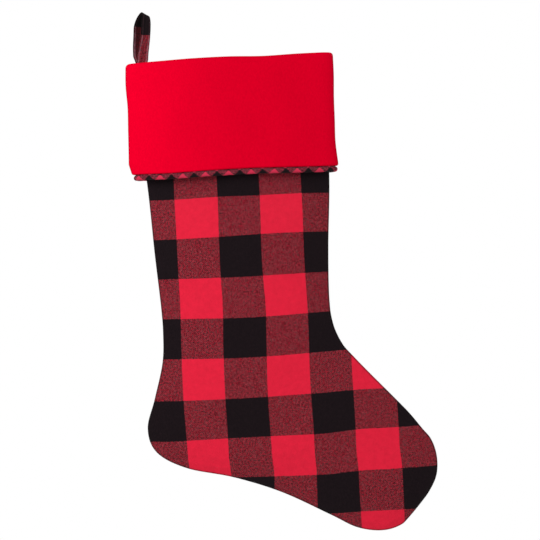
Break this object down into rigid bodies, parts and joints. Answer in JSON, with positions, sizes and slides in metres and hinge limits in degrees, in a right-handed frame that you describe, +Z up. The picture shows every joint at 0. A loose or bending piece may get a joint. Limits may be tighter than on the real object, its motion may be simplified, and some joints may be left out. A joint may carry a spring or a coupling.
{
  "type": "hanging stocking",
  "caption": "Flat-sewn fabric stocking with a lining, a turned-down velour cuff edged with corded piping, and a folded strip as hanging loop.",
  "frame": {"origin": "where a hook touches the inside of the hanging loop, at its top", "axes": "+Z up along the leg, +X towards the toe, -Y to the front"},
  "size_m": [0.3105, 0.056, 0.5613],
  "materials": {
    "plaid_flannel": "brushed twill flannel in red and black check",
    "cotton_lining": "plain red cotton",
    "red_velour": "short soft pile",
    "cuff_facing": "plain woven cotton",
    "bias_plaid": "small check cut on the bias",
    "cotton_cord": "soft twisted cotton",
    "sewing_thread": "polyester thread",
    "loop_strip": "folded strip of checked flannel"
  },
  "bodies": {
    "loop": {"hanging_loop": "loop_strip"},
    "stem": {"loop_neck": "loop_strip"},
    "stocking": {"front_panel": "plaid_flannel", "back_panel": "plaid_flannel", "lining_front": "cotton_lining", "lining_back": "cotton_lining", "body_seam_thread": "sewing_thread", "lining_seam_thread": "sewing_thread", "mouth_seam_thread": "sewing_thread", "loop_tab": "loop_strip", "loop_bar_tack": "sewing_thread"},
    "cuff": {"cuff_front": "red_velour", "cuff_back": "red_velour", "cuff_facing_front": "cuff_facing", "cuff_facing_back": "cuff_facing", "cuff_seam_thread_left": "sewing_thread", "cuff_seam_thread_right": "sewing_thread", "cuff_hem_thread": "sewing_thread", "piping_cover": "bias_plaid", "piping_cord": "cotton_cord"}
  },
  "joints": [
    {"name": "loop_twist", "type": "hinge", "parent": "loop", "child": "stem", "pos_m": [-0.0029, 0, -0.035], "axis": [0, 0, 1], "range_deg": [-90, 90], "stiffness_Nm_per_rad": 0.02},
    {"name": "loop_fold", "type": "hinge", "parent": "stem", "child": "stocking", "pos_m": [-0.0036, 0, -0.0474], "axis": [1, 0, 0], "range_deg": [-70, 70]},
    {"name": "cuff_sway", "type": "hinge", "parent": "stocking", "child": "cuff", "pos_m": [0.088, 0, -0.057], "axis": [1, 0, 0], "range_deg": [-2, 2]}
  ]
}
